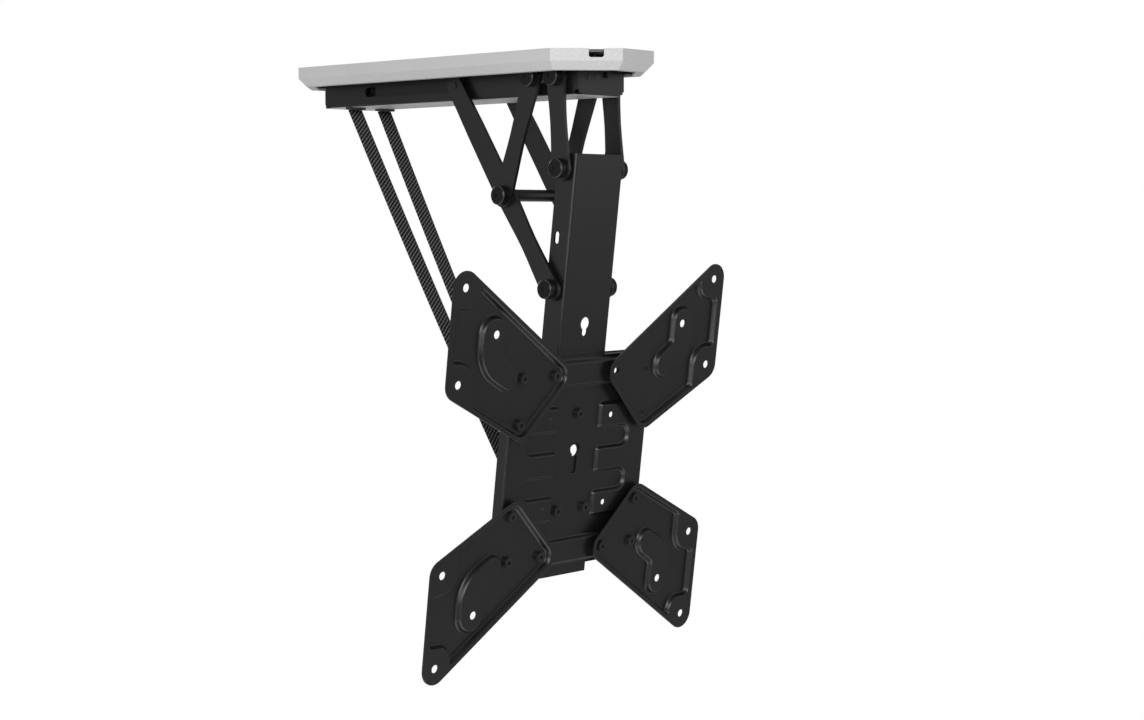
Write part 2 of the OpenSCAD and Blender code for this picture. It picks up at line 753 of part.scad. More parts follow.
// Pivots
module cap() {
    bevel = 1.5;
    dimple_r = 3;
    rotate([0, 90, 0]) rotate_extrude() polygon([
        [0, 0], [cap_r, 0], [cap_r, cap_h - bevel], [cap_r - bevel, cap_h],
        [dimple_r, cap_h], [dimple_r, cap_h - 1], [0, cap_h - 1]
    ]);
}

module pivot_pin(at, x_nut, x_cap) {
    rod_x(at, nut_r, x_nut - nut_t, x_nut);
    rod_x(at, pin_r, x_nut - nut_t, x_cap + over);
    translate([x_cap, at[0], at[1]]) cap();
}

module spacer(at, x0, x1) {
    difference() {
        rod_x(at, nut_r, x0, x1);
        rod_x(at, pin_r + fit, x0 - over, x1 + over);
    }
}

module crank_pivot_pins() {
    color(dark) both() pivot_pin(crank, beam_in, outer_cap_x);
}

module rocker_pivot_pins() {
    color(dark) both() pivot_pin(rocker, beam_in, inner_cap_x);
}

module pivot_spacers() {
    color(steel) both() {
        spacer(crank, beam_x, crank_x0 - face_gap);
        spacer(rocker, beam_x, arm_x0 - face_gap);
    }
}

module hanger_pins() {
    color(dark) both() pivot_pin(hanger, mast_in, inner_cap_x);
}

module hanger_spacers() {
    color(steel) both() spacer(hanger, mast_x, arm_x0 - face_gap);
}

module centre_pivot_pins() {
    color(dark) both() {
        rod_x(middle, pin_r, arm_x0 - 12, outer_cap_x + over);
        translate([outer_cap_x, middle[0], middle[1]]) cap();
    }
}

module cross_tube() {
    color(dark) difference() {
        rod_x(middle, tube_d / 2, -arm_x0, arm_x0);
        rod_x(middle, pin_r + fit, -arm_x0 - over, arm_x0 + over);
    }
}

washer_x = mast_x + 2 * face_gap;

module mast_pivot_caps() {
    color(dark) both() {
        rod_x(anchor, nut_r, washer_x, arm_x0);
        rod_x(anchor, pin_r, washer_x, arm_x1 + over);
        translate([arm_x1, anchor[0], anchor[1]]) cap();
    }
}

module rocker_anchor_nuts() {
    color(steel) both() {
        rod_x(anchor, nut_r, mast_in - nut_t, mast_in);
        rod_x(anchor, pin_r, mast_in - nut_t, mast_x + face_gap);
    }
}

rivet_r = 3;
rivet_head_r = 3.8;
rivet_head_t = 1.3;

module slide_rivets() {
    color(dark) both() {
        rod_x(slide, rivet_r * 2, arm_x0 - 1, arm_x0);
        rod_x(slide, rivet_r, arm_x0 - 1, arm_x1 + over);
        rod_x(slide, rivet_head_r, arm_x1, arm_x1 + rivet_head_t);
    }
}

// Arms
module arm(p, q, r0, r1, stations, x0) {
    plate_x(p, x0, x0 + arm_t) rotate(atan2(q[1] - p[1], q[0] - p[0]))
        polygon(strap(norm(q - p), r0, r1, stations));
}

module crank_arm() {
    difference() {
        arm(crank, middle, arm_end_r, arm_end_r, [[crank_len / 2, arm_end_r - 3.3, 300]], crank_x0);
        for (p = [crank, middle]) rod_x(p, pin_r + fit, crank_x0 - over, crank_x1 + over);
    }
}

module lift_arm() {
    difference() {
        arm(slide, hanger, slide_end_r, arm_end_r, [
            [24, slide_end_r + 0.6, 60], [60, arm_end_r - 0.6, 200], [lift_upper, arm_end_r + 0.2, 60],
            [lift_upper + lift_lower / 2, arm_end_r - 3.2, 300]
        ], arm_x0);
        for (p = [middle, hanger]) rod_x(p, pin_r + fit, arm_x0 - over, arm_x1 + over);
        rod_x(slide, rivet_r + fit, arm_x0 - over, arm_x1 + over);
    }
}

module rocker_arm() {
    difference() {
        arm(rocker, anchor, arm_end_r, arm_end_r, [[rocker_len / 2, arm_end_r - 3.1, 300]], arm_x0);
        for (p = [rocker, anchor]) rod_x(p, pin_r + fit, arm_x0 - over, arm_x1 + over);
    }
}

module crank_arm_left() {
    color(black) mirror([1, 0, 0]) crank_arm();
}

module crank_arm_right() {
    color(black) crank_arm();
}

module lift_arm_left() {
    color(black) mirror([1, 0, 0]) lift_arm();
}

module lift_arm_right() {
    color(black) lift_arm();
}

module rocker_arm_left() {
    color(black) mirror([1, 0, 0]) rocker_arm();
}

module rocker_arm_right() {
    color(black) rocker_arm();
}

// Mast
module mast_channel() {
    section = rounded([
        [-mast_x, web_y, 3], [mast_x, web_y, 3], [mast_x, mast_back, 0], [mast_in, mast_back, 0],
        [mast_in, web_back, 1], [-mast_in, web_back, 1], [-mast_in, mast_back, 0], [-mast_x, mast_back, 0]
    ]);
    slot_y = web_y + mast_slot_y;
    slot_r = mast_slot[0] / 2;
    slot_half = mast_slot[1] / 2 - slot_r;
    color(black) difference() {
        in_mast() difference() {
            translate([0, 0, -mast_bottom]) linear_extrude(mast_bottom + mast_top) polygon(section);
            keyhole(web_y - over, web_back + over, mast_key_r, mast_key_z, mast_key_low);
            rod_y(0, back_hole_z, back_hole_r, web_y - over, web_back + over);
            for (p = centre_screws) rod_y(p[0], p[1], centre_hole_d / 2, web_y - over, web_back + over);
            for (x = clamp_bolts) rod_y(x, -sleeve_low, bolt_hole_r, web_y - over, web_back + over);
            both() {
                block([mast_in - over, mast_x + over], [slot_y - slot_r, slot_y + slot_r],
                    [mast_slot_z - slot_half, mast_slot_z + slot_half]);
                for (s = [-slot_half, slot_half])
                    rod_x([slot_y, mast_slot_z + s], slot_r, mast_in - over, mast_x + over);
            }
        }
        for (p = [hanger, anchor]) rod_x(p, pin_r + fit, -mast_x - over, mast_x + over);
    }
}

module centre_plate() {
    cx = centre_w / 2;
    cz = centre_h / 2;
    color(black) in_mast() difference() {
        union() {
            block([-cx, cx], [centre_y, web_y], [-cz, cz]);
            both() block([cx - sheet, cx], [centre_y, centre_y + centre_flange], [-cz, cz]);
        }
        plate_y(centre_y - over, low_y) {
            polygon(rounded(sunk));
            for (s = [-1, 1]) translate([-cx - over, s * cz - (s > 0 ? edge_strip : over)])
                square([centre_w + 2 * over, edge_strip + over]);
        }
        plate_y(centre_y + sheet, web_y + over) difference() {
            square([centre_w - 2 * sheet, centre_h - 2 * edge_strip - 2 * sheet], center = true);
            polygon(rounded(shrunk(sunk, -sheet)));
        }
        for (x = [-1, 1], z = [-1, 1], p = concat(fixing_holes, [[vesa_inner / 2, vesa_inner / 2]]))
            rod_y(x * p[0], z * p[1], centre_hole_d / 2, centre_y - over, web_y + over);
        for (p = centre_screws) rod_y(p[0], p[1], centre_hole_d / 2, centre_y - over, web_y + over);
        keyhole(centre_y - over, web_y + over, key_r, key_z, key_low);
    }
}

module vesa_arm() {
    difference() {
        plate_y(pad_y, centre_y) polygon(arm_outline);
        plate_y(pad_y - over, field_y) difference() {
            polygon(rounded(field_outline));
            polygon(rounded(kidney));
        }
        plate_y(pad_y + sheet, centre_y + over) difference() {
            polygon(rounded(shrunk(swollen(corner_holes, arm_edge), -over)));
            polygon(rounded(shrunk(field_outline, -sheet)));
        }
        plate_y(pad_y + sheet, centre_y + over) polygon(rounded(shrunk(kidney, sheet)));
        for (p = fixing_holes) rod_y(p[0], p[1], fixing_d / 2, pad_y - over, centre_y + over);
        for (p = [[vesa_outer, vesa_outer] / 2, [vesa_outer, vesa_low] / 2, [vesa_middle, vesa_middle] / 2])
            rod_y(p[0], p[1], vesa_d / 2, pad_y - over, centre_y + over);
    }
}

module vesa_arm_upper_right() {
    color(black) in_mast() vesa_arm();
}

module vesa_arm_upper_left() {
    color(black) in_mast() mirror([1, 0, 0]) vesa_arm();
}

module vesa_arm_lower_right() {
    color(black) in_mast() mirror([0, 0, 1]) vesa_arm();
}

module vesa_arm_lower_left() {
    color(black) in_mast() mirror([0, 0, 1]) mirror([1, 0, 0]) vesa_arm();
}

screw_shank = 3;
weld_nut_r = 5.8;
weld_nut_t = 4;

module screw(x, z, y_seat, y_end) {
    difference() {
        union() {
            rod_y(x, z, head_d / 2, y_seat - head_h, y_seat);
            rod_y(x, z, screw_shank, y_seat - over, y_end);
        }
        rod_y(x, z, head_d / 6, y_seat - head_h - over, y_seat - head_h / 2);
    }
}

module weld_nut(x, z, y) {
    difference() {
        translate([x, y, z]) rotate([-90, 0, 0]) cylinder(h = weld_nut_t, r = weld_nut_r, $fn = 6);
        rod_y(x, z, screw_shank + fit, y - over, y + weld_nut_t + over);
    }
}

arm_quarters = [[-1, 1], [-1, -1], [1, -1]];

module arm_screws() {
    color(dark) in_mast() for (q = arm_quarters, p = fixing_holes)
        screw(q[0] * p[0], q[1] * p[1], field_y, centre_y + sheet + weld_nut_t);
}

module plate_screws() {
    color(dark) in_mast() for (p = centre_screws) screw(p[0], p[1], low_y, web_back + weld_nut_t);
}

module weld_nuts() {
    color(steel) in_mast() {
        for (q = arm_quarters, p = fixing_holes) weld_nut(q[0] * p[0], q[1] * p[1], centre_y + sheet);
        for (p = centre_screws) weld_nut(p[0], p[1], web_back);
    }
}

// Cable sleeves
module sleeve_grommets() {
    color(black) both() difference() {
        cable_slot(grommet_edge, -beam_h - grommet_t, -beam_h);
        cable_slot(0, -beam_h - grommet_t - over, -beam_h + over);
    }
}

module sleeve() {
    run = sleeve_bottom - sleeve_top;
    half = sleeve_w / 2;
    translate([0, sleeve_top[0], sleeve_top[1]]) rotate([atan2(run[1], run[0]), 0, 0])
        translate([0, 0, -sleeve_t / 2]) linear_extrude(sleeve_t) polygon([
            [sleeve_x - half, 0], [sleeve_x + half, 0],
            [sleeve_low_x + half, norm(run)], [sleeve_low_x - half, norm(run)]
        ]);
}

module sleeve_left() {
    color(black) mirror([1, 0, 0]) sleeve();
}

module sleeve_right() {
    color(black) sleeve();
}

module sleeve_clamp() {
    color(black) in_mast() difference() {
        block([clamp_side_gap - mast_in, mast_in - clamp_side_gap], [web_back, web_back + clamp_t],
            [-sleeve_low - clamp_h / 2, -sleeve_low + clamp_h / 2]);
        for (x = clamp_bolts) rod_y(x, -sleeve_low, bolt_hole_r, web_back - over, web_back + clamp_t + over);
    }
}

module clamp_screws() {
    head_y = web_back + clamp_t;
    color(steel) in_mast() for (x = clamp_bolts) {
        rod_y(x, -sleeve_low, bolt_r, web_y + seat_gap, head_y + over);
        rod_y(x, -sleeve_low, bolt_head_r, head_y, head_y + 2);
    }
}

ceiling_plate();
housing_cover();
cover_clips();
channel_beam();
beam_bolts();
front_end_plate();
rear_end_cap();
receiver_lens();
status_light();
service_socket();
receiver_board();
drive_motor();
gearbox();
motor_bracket();
front_bearing_block();
rear_bearing_block();
screw_bearings();
guide_rail();
rail_bolts();
control_board();
limit_sensors();
power_inlet();
crank_pivot_pins();
rocker_pivot_pins();
pivot_spacers();
sleeve_grommets();
sleeve_left();
sleeve_right();
lead_screw();
shaft_coupler();
gearbox_shaft();
carriage_bridge();
drive_nut();
slide_pins();
slide_shoes();
crank_arm_left();
crank_arm_right();
lift_arm_left();
lift_arm_right();
cross_tube();
centre_pivot_pins();
slide_rivets();
rocker_arm_left();
rocker_arm_right();
mast_pivot_caps();
mast_channel();
hanger_pins();
hanger_spacers();
rocker_anchor_nuts();
centre_plate();
plate_screws();
vesa_arm_upper_left();
vesa_arm_upper_right();
vesa_arm_lower_left();
vesa_arm_lower_right();
arm_screws();
weld_nuts();
sleeve_clamp();
clamp_screws();
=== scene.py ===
"""Looks, camera and light of the ceiling screen lift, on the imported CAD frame."""
import json
import math

import bmesh
import bpy
from mathutils import Matrix, Vector
from mathutils.geometry import delaunay_2d_cdt


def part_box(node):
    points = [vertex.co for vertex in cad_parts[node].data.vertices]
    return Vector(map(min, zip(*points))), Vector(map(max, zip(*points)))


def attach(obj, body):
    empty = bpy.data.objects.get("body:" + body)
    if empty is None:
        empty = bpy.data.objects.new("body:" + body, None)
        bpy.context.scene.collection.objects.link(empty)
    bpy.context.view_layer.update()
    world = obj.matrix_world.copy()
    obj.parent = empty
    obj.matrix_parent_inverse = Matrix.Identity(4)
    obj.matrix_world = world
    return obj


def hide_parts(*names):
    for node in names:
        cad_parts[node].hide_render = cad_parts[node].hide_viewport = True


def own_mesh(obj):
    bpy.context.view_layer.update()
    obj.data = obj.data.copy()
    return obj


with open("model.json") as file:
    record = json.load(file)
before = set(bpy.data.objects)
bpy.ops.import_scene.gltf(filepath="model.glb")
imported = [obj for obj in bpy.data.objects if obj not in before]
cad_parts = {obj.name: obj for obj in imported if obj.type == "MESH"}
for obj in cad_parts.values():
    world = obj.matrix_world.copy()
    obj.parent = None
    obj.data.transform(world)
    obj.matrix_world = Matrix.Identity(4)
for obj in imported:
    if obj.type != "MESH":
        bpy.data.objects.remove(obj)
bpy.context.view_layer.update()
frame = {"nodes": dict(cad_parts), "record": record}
nodes = frame["nodes"]
scene = bpy.context.scene

MM = 0.001

# The photograph's camera, solved from its screen holes
CAMERA_PLACE = (-1.6013, -1.6373, -0.1769)
CAMERA_LOOK = (0.7337, 0.6757, -0.0713)
CAMERA_LENS = 62.56
CAMERA_SENSOR = 36.0
CAMERA_REACH = 100.0

WORLD_LEVEL = 0.28
FLOOR_HALF, FLOOR_LEVEL = 3.0, -2.0
FLOOR_GREY, FLOOR_ROUGHNESS = 0.85, 0.9

# Name, place, point that it faces, size, power in watts
FRONT_MIDDLE, MIDDLE = (0, -0.1, -0.3), (0, 0, -0.3)
LAMPS = [
    ("key", (-1.9, -3.2, 0.5), FRONT_MIDDLE, (2.2, 2.2), 34),
    ("edge", (-2.5, -2.1, 0.5), FRONT_MIDDLE, (0.9, 1.6), 38),
    ("left", (-3.3, -0.9, 0.1), FRONT_MIDDLE, (1.0, 2.2), 26),
    ("side", (-3.0, 1.6, -0.2), MIDDLE, (1.6, 2.2), 5),
    ("right", (1.8, -2.5, 0.2), MIDDLE, (1.8, 1.8), 6),
    ("top", (0.2, 0.6, 2.4), (0, 0, -0.2), (2.5, 2.5), 22),
    ("back", (1.0, 3.2, 0.4), MIDDLE, (2.0, 2.0), 20),
    ("under", (-0.4, -0.4, -1.8), (0, 0, 0), (2.0, 2.0), 13),
]


# Camera and light
def add_camera():
    data = bpy.data.cameras.new("photo_camera")
    data.sensor_width = CAMERA_SENSOR
    data.lens = CAMERA_LENS
    data.clip_end = CAMERA_REACH
    camera = bpy.data.objects.new("photo_camera", data)
    bpy.context.collection.objects.link(camera)
    forward = Vector(CAMERA_LOOK).normalized()
    right = forward.cross(Vector((0, 0, 1))).normalized()
    up = right.cross(forward)
    turn = Matrix((right, up, -forward)).transposed().to_4x4()
    camera.matrix_world = Matrix.Translation(Vector(CAMERA_PLACE)) @ turn
    scene.camera = camera


def add_lamp(name, place, target, size, power):
    data = bpy.data.lights.new(name, "AREA")
    data.shape = "RECTANGLE"
    data.size, data.size_y = size
    data.energy = power
    lamp = bpy.data.objects.new(name, data)
    bpy.context.collection.objects.link(lamp)
    lamp.location = place
    facing = Vector(target) - Vector(place)
    lamp.rotation_euler = facing.to_track_quat("-Z", "Y").to_euler()


def add_world():
    """White to the camera, and a dimmer even light on the object."""
    world = bpy.data.worlds.new("studio")
    world.use_nodes = True
    tree = world.node_tree
    tree.nodes.clear()
    out = tree.nodes.new("ShaderNodeOutputWorld")
    mix = tree.nodes.new("ShaderNodeMixShader")
    path = tree.nodes.new("ShaderNodeLightPath")
    seen = tree.nodes.new("ShaderNodeBackground")
    lit = tree.nodes.new("ShaderNodeBackground")
    for background, level in ((seen, 1.0), (lit, WORLD_LEVEL)):
        background.inputs["Color"].default_value = (1, 1, 1, 1)
        background.inputs["Strength"].default_value = level
    tree.links.new(path.outputs["Is Camera Ray"], mix.inputs["Fac"])
    tree.links.new(lit.outputs[0], mix.inputs[1])
    tree.links.new(seen.outputs[0], mix.inputs[2])
    tree.links.new(mix.outputs[0], out.inputs["Surface"])
    scene.world = world


def add_floor():
    mesh = bpy.data.meshes.new("floor")
    signs = ((-1, -1), (1, -1), (1, 1), (-1, 1))
    corners = [(x * FLOOR_HALF, y * FLOOR_HALF, FLOOR_LEVEL) for x, y in signs]
    mesh.from_pydata(corners, [], [(0, 1, 2, 3)])
    floor = bpy.data.objects.new("floor", mesh)
    bpy.context.collection.objects.link(floor)
    material = bpy.data.materials.new("floor_pale")
    material.use_nodes = True
    shader = material.node_tree.nodes["Principled BSDF"]
    shader.inputs["Base Color"].default_value = (FLOOR_GREY, FLOOR_GREY, FLOOR_GREY, 1)
    shader.inputs["Roughness"].default_value = FLOOR_ROUGHNESS
    floor.data.materials.append(material)


# Materials
def new_material(name, roughness, metallic=0.0, specular=0.5):
    material = bpy.data.materials.new(name)
    material.use_nodes = True
    shader = material.node_tree.nodes["Principled BSDF"]
    shader.inputs["Roughness"].default_value = roughness
    shader.inputs["Metallic"].default_value = metallic
    shader.inputs["Specular IOR Level"].default_value = specular
    return material, material.node_tree, shader


def add_node(tree, kind, **values):
    made = tree.nodes.new(kind)
    for key, value in values.items():
        if key in made.inputs:
            made.inputs[key].default_value = value
        else:
            setattr(made, key, value)
    return made


def noise(tree, scale, detail, rough=0.5, stretch=None):
    place = add_node(tree, "ShaderNodeTexCoord").outputs["Object"]
    if stretch:
        mapping = add_node(tree, "ShaderNodeMapping")
        mapping.inputs["Scale"].default_value = stretch
        tree.links.new(place, mapping.inputs["Vector"])
        place = mapping.outputs["Vector"]
    made = add_node(tree, "ShaderNodeTexNoise", Scale=scale, Detail=detail, Roughness=rough)
    tree.links.new(place, made.inputs["Vector"])
    return made.outputs["Fac"]


def ramp(tree, source, stops):
    made = add_node(tree, "ShaderNodeValToRGB")
    elements = made.color_ramp.elements
    for _ in stops[2:]:
        elements.new(0.5)
    for element, (at, colour) in zip(elements, stops):
        element.position = at
        element.color = (*colour, 1)
    tree.links.new(source, made.inputs["Fac"])
    return made.outputs["Color"]


def bump(tree, shader, heights):
    """Reliefs on top of each other: (source, strength, height in metres)."""
    last = None
    for source, strength, distance in heights:
        made = add_node(tree, "ShaderNodeBump", Strength=strength, Distance=distance)
        tree.links.new(source, made.inputs["Height"])
        if last:
            tree.links.new(last, made.inputs["Normal"])
        last = made.outputs["Normal"]
    tree.links.new(last, shader.inputs["Normal"])


def shade(colour, factor):
    return tuple(min(1.0, c * factor) for c in colour)


# The beam's underside, where a pale painted reflection of the floor goes: its height, how far from
# that a face may lie, and how straight down it looks
BEAM_FOOT = -0.046
FOOT_SPAN = 0.001
LOOKS_DOWN = -0.95


def painted_floor_reflection(tree, colour, pale):
    """The colour, and a pale painted reflection of the floor on the faces that look down at the
    beam's foot.
    """
    place = add_node(tree, "ShaderNodeTexCoord")
    up = add_node(tree, "ShaderNodeSeparateXYZ")
    high = add_node(tree, "ShaderNodeSeparateXYZ")
    tree.links.new(place.outputs["Normal"], up.inputs["Vector"])
    tree.links.new(place.outputs["Object"], high.inputs["Vector"])
    down = add_node(tree, "ShaderNodeMath", operation="LESS_THAN")
    low = add_node(tree, "ShaderNodeMath", operation="COMPARE")
    both = add_node(tree, "ShaderNodeMath", operation="MULTIPLY")
    down.inputs[1].default_value = LOOKS_DOWN
    low.inputs[1].default_value = BEAM_FOOT
    low.inputs[2].default_value = FOOT_SPAN
    tree.links.new(up.outputs["Z"], down.inputs[0])
    tree.links.new(high.outputs["Z"], low.inputs[0])
    tree.links.new(down.outputs[0], both.inputs[0])
    tree.links.new(low.outputs[0], both.inputs[1])
    mix = add_node(tree, "ShaderNodeMix", data_type="RGBA")
    mix.inputs["B"].default_value = (*pale, 1)
    tree.links.new(both.outputs[0], mix.inputs["Factor"])
    tree.links.new(colour, mix.inputs["A"])
    return mix.outputs["Result"]


def powder_coat(name, colour, roughness, grain=1500.0, depth=0.25, specular=0.5, spread=0.12,
                pale=None):
    """Baked paint: broad soft patches under fine specks, both with a little relief; pale paints the
    floor's reflection under the beam.
    """
    material, tree, shader = new_material(name, roughness, specular=specular)
    fine = noise(tree, scale=grain, detail=3.0, rough=0.6)
    broad = noise(tree, scale=14.0, detail=3.0)
    tint = ramp(tree, broad, [(0.3, shade(colour, 1 - spread)), (0.7, shade(colour, 1 + spread))])
    speck = ramp(tree, fine, [(0.35, (0.75, 0.75, 0.75)), (0.65, (1, 1, 1))])
    mix = add_node(tree, "ShaderNodeMix", data_type="RGBA", blend_type="MULTIPLY")
    mix.inputs["Factor"].default_value = 1.0
    tree.links.new(tint, mix.inputs["A"])
    tree.links.new(speck, mix.inputs["B"])
    final = mix.outputs["Result"]
    # pale is a painted reflection of the floor on the beam's underside
    if pale:
        final = painted_floor_reflection(tree, final, pale)
    tree.links.new(final, shader.inputs["Base Color"])
    bump(tree, shader, [(fine, depth, 0.0002), (broad, 0.04, 0.001)])
    return material


def bare_metal(name, colour, roughness, stretch):
    """Metal with a grain drawn out by stretch, faint stains and uneven gloss."""
    material, tree, shader = new_material(name, roughness, metallic=1.0)
    grain = noise(tree, scale=220.0, detail=4.0, rough=0.6, stretch=stretch)
    stain = noise(tree, scale=30.0, detail=3.0)
    tint = ramp(tree, stain, [(0.3, shade(colour, 0.86)), (0.7, shade(colour, 1.08))])
    tree.links.new(tint, shader.inputs["Base Color"])
    rough = add_node(tree, "ShaderNodeMapRange")
    rough.inputs["To Min"].default_value = roughness * 0.8
    rough.inputs["To Max"].default_value = roughness * 1.3
    tree.links.new(grain, rough.inputs["Value"])
    tree.links.new(rough.outputs["Result"], shader.inputs["Roughness"])
    bump(tree, shader, [(grain, 0.08, 0.0002)])
    return material


# A cap's turned rings, and a painted highlight band near its rim: share of its radius, brightness
CAP_RADIUS = 0.0105
CAP_RINGS_AND_HIGHLIGHT = [(at, (value,) * 3) for at, value in (
    (0.0, 0.001), (0.1, 0.001), (0.14, 0.007), (0.4, 0.008), (0.5, 0.004), (0.56, 0.001),
    # 0.93 to 0.965 of the radius: the painted highlight band near the rim
    (0.62, 0.006), (0.8, 0.007), (0.87, 0.002), (0.91, 0.003), (0.93, 0.05), (0.965, 0.05),
    (0.985, 0.006), (1.0, 0.006))]


def cap_metal(name, y, z):
    """Blackened steel with turned rings and a painted highlight ring round the pivot's axis, along
    X through (y, z).
    """
    material, tree, shader = new_material(name, 0.3, specular=0.2)
    place = add_node(tree, "ShaderNodeTexCoord").outputs["Object"]
    flat = add_node(tree, "ShaderNodeVectorMath", operation="MULTIPLY")
    flat.inputs[1].default_value = (0, 1, 1)
    away = add_node(tree, "ShaderNodeVectorMath", operation="DISTANCE")
    away.inputs[1].default_value = (0, y, z)
    tree.links.new(place, flat.inputs[0])
    tree.links.new(flat.outputs["Vector"], away.inputs[0])
    share = add_node(tree, "ShaderNodeMath", operation="DIVIDE")
    share.inputs[1].default_value = CAP_RADIUS
    tree.links.new(away.outputs["Value"], share.inputs[0])
    # the turned rings, with a painted highlight band near the rim
    tint = ramp(tree, share.outputs[0], CAP_RINGS_AND_HIGHLIGHT)
    grain = noise(tree, scale=500.0, detail=3.0, rough=0.6, stretch=(8, 1, 1))
    tree.links.new(tint, shader.inputs["Base Color"])
    bump(tree, shader, [(tint, 0.6, 0.0006), (grain, 0.06, 0.0002)])
    return material


def plastic(name, colour, roughness, depth=0.12):
    """Moulded plastic with faint patches and a fine texture of the given strength."""
    material, tree, shader = new_material(name, roughness)
    fine = noise(tree, scale=900.0, detail=3.0)
    broad = noise(tree, scale=20.0, detail=2.0)
    tint = ramp(tree, broad, [(0.3, shade(colour, 0.9)), (0.7, shade(colour, 1.08))])
    tree.links.new(tint, shader.inputs["Base Color"])
    bump(tree, shader, [(fine, depth, 0.0001)])
    return material


# The braid's threads: their slant (across, along the strap) and the pitch of each set, in metres
THREAD_SLANT = (0.623, 0.782)
MAIN_PITCH, CROSSING_PITCH = 0.0037, 0.0052


def braid(name, dark, light):
    """Slanted pale threads with a fainter crossing set, from the strap's own UVs in metres."""
    material, tree, shader = new_material(name, 0.7, specular=0.2)
    split = add_node(tree, "ShaderNodeSeparateXYZ")
    tree.links.new(add_node(tree, "ShaderNodeTexCoord").outputs["UV"], split.inputs["Vector"])

    def math_node(operation, first, second=None):
        made = add_node(tree, "ShaderNodeMath", operation=operation)
        for socket, value in zip(made.inputs, (first, second)):
            if isinstance(value, float):
                socket.default_value = value
            elif value is not None:
                tree.links.new(value, socket)
        return made.outputs[0]

    def threads(across, along, pitch):
        slanted = math_node("ADD", math_node("MULTIPLY", split.outputs["X"], across),
                            math_node("MULTIPLY", split.outputs["Y"], along))
        return math_node("SINE", math_node("MULTIPLY", slanted, 2 * math.pi / pitch))

    across, along = THREAD_SLANT
    main = threads(across, along, MAIN_PITCH)
    crossing = threads(-across, along, CROSSING_PITCH)
    sharp = add_node(tree, "ShaderNodeMapRange")
    sharp.inputs["From Min"].default_value = -0.1
    sharp.inputs["From Max"].default_value = 0.5
    tree.links.new(main, sharp.inputs["Value"])
    fade = add_node(tree, "ShaderNodeMapRange")
    fade.inputs["From Min"].default_value = -1.0
    fade.inputs["To Min"].default_value = 0.45
    tree.links.new(crossing, fade.inputs["Value"])
    mix = add_node(tree, "ShaderNodeMix", data_type="RGBA")
    mix.inputs["A"].default_value = (*dark, 1)
    mix.inputs["B"].default_value = (*light, 1)
    pattern = math_node("MULTIPLY", sharp.outputs["Result"], fade.outputs["Result"])
    tree.links.new(pattern, mix.inputs["Factor"])
    tree.links.new(mix.outputs["Result"], shader.inputs["Base Color"])
    bump(tree, shader, [(main, 0.5, 0.0003), (crossing, 0.3, 0.0003)])
    return material


BLACK = (0.006, 0.006, 0.0064)
LOOKS = {
    # frame_black's pale grey is a painted reflection of the floor on the beam's underside
    "frame_black": powder_coat("frame_black", BLACK, 0.32, specular=0.53, pale=(0.6, 0.6, 0.6)),
    "cover_white": powder_coat("cover_white", (0.56, 0.56, 0.557), 0.42, grain=1100.0, depth=0.08,
                               spread=0.015),
    "zinc_steel": bare_metal("zinc_steel", (0.6, 0.61, 0.62), 0.32, stretch=(1, 1, 8)),
    "dark_steel": powder_coat("dark_steel", (0.013, 0.013, 0.014), 0.3, grain=2200.0, depth=0.08,
                              specular=0.42),
    "screw_steel": bare_metal("screw_steel", (0.7, 0.7, 0.72), 0.2, stretch=(1, 12, 1)),
    "drive_grey": powder_coat("drive_grey", (0.012, 0.012, 0.013), 0.5),
    "black_plastic": plastic("black_plastic", (0.02, 0.02, 0.021), 0.5),
    "lens_dark": plastic("lens_dark", (0.012, 0.003, 0.004), 0.25, depth=0.0),
    "light_cover": plastic("light_cover", (0.022, 0.022, 0.024), 0.3, depth=0.0),
    "board_green": plastic("board_green", (0.01, 0.12, 0.05), 0.35),
    "sensor_blue": plastic("sensor_blue", (0.02, 0.02, 0.12), 0.4),
    "bronze": bare_metal("bronze", (0.55, 0.36, 0.14), 0.28, stretch=(1, 8, 1)),
    "nylon_white": plastic("nylon_white", (0.75, 0.75, 0.72), 0.45),
    "braid_black": braid("braid_black", (0.002, 0.002, 0.002), (0.16, 0.16, 0.156)),
}

# Where the axis of each row of caps lies: (y, z)
PIVOTS = {
    "crank_pivot_pins": (-0.1485, -0.026),
    "rocker_pivot_pins": (-0.1795, -0.026),
    "centre_pivot_pins": (-0.105244, -0.152298),
    "hanger_pins": (-0.171061, -0.253236),
    "mast_pivot_caps": (-0.186987, -0.124215),
}

# The sheet pieces whose edges are softened, and by how much
SOFT_EDGES = [
    "channel_beam", "mast_channel", "crank_arm_left", "crank_arm_right", "lift_arm_left",
    "lift_arm_right", "rocker_arm_left", "rocker_arm_right", "rear_end_cap", "front_end_plate",
    "housing_cover",
]
SOFT_WIDTH, SOFT_ANGLE, SOFT_STEPS = 0.0004, math.radians(30), 2


# Pieces
def mesh_object(name, vertices, faces, material, body, uvs=None):
    mesh = bpy.data.meshes.new(name)
    mesh.from_pydata(vertices, [], faces)
    mesh.update()
    if uvs:
        layer = mesh.uv_layers.new(name="strap")
        for loop in mesh.loops:
            layer.data[loop.index].uv = uvs[loop.vertex_index]
    made = bpy.data.objects.new(name, mesh)
    bpy.context.collection.objects.link(made)
    made.data.materials.append(material)
    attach(made, body)
    return made


def soften(obj):
    bevel = obj.modifiers.new("edge", "BEVEL")
    bevel.width = SOFT_WIDTH
    bevel.segments = SOFT_STEPS
    bevel.limit_method = "ANGLE"
    bevel.angle_limit = SOFT_ANGLE


def paint_nodes():
    for entry in frame["record"]["subparts"]:
        obj = nodes[entry["node"]]
        look = LOOKS[entry["material_slot"]]
        if entry["node"] in PIVOTS:
            look = cap_metal(entry["node"], *PIVOTS[entry["node"]])
        obj.data.materials.clear()
        obj.data.materials.append(look)
    for name in SOFT_EDGES:
        soften(nodes[name])


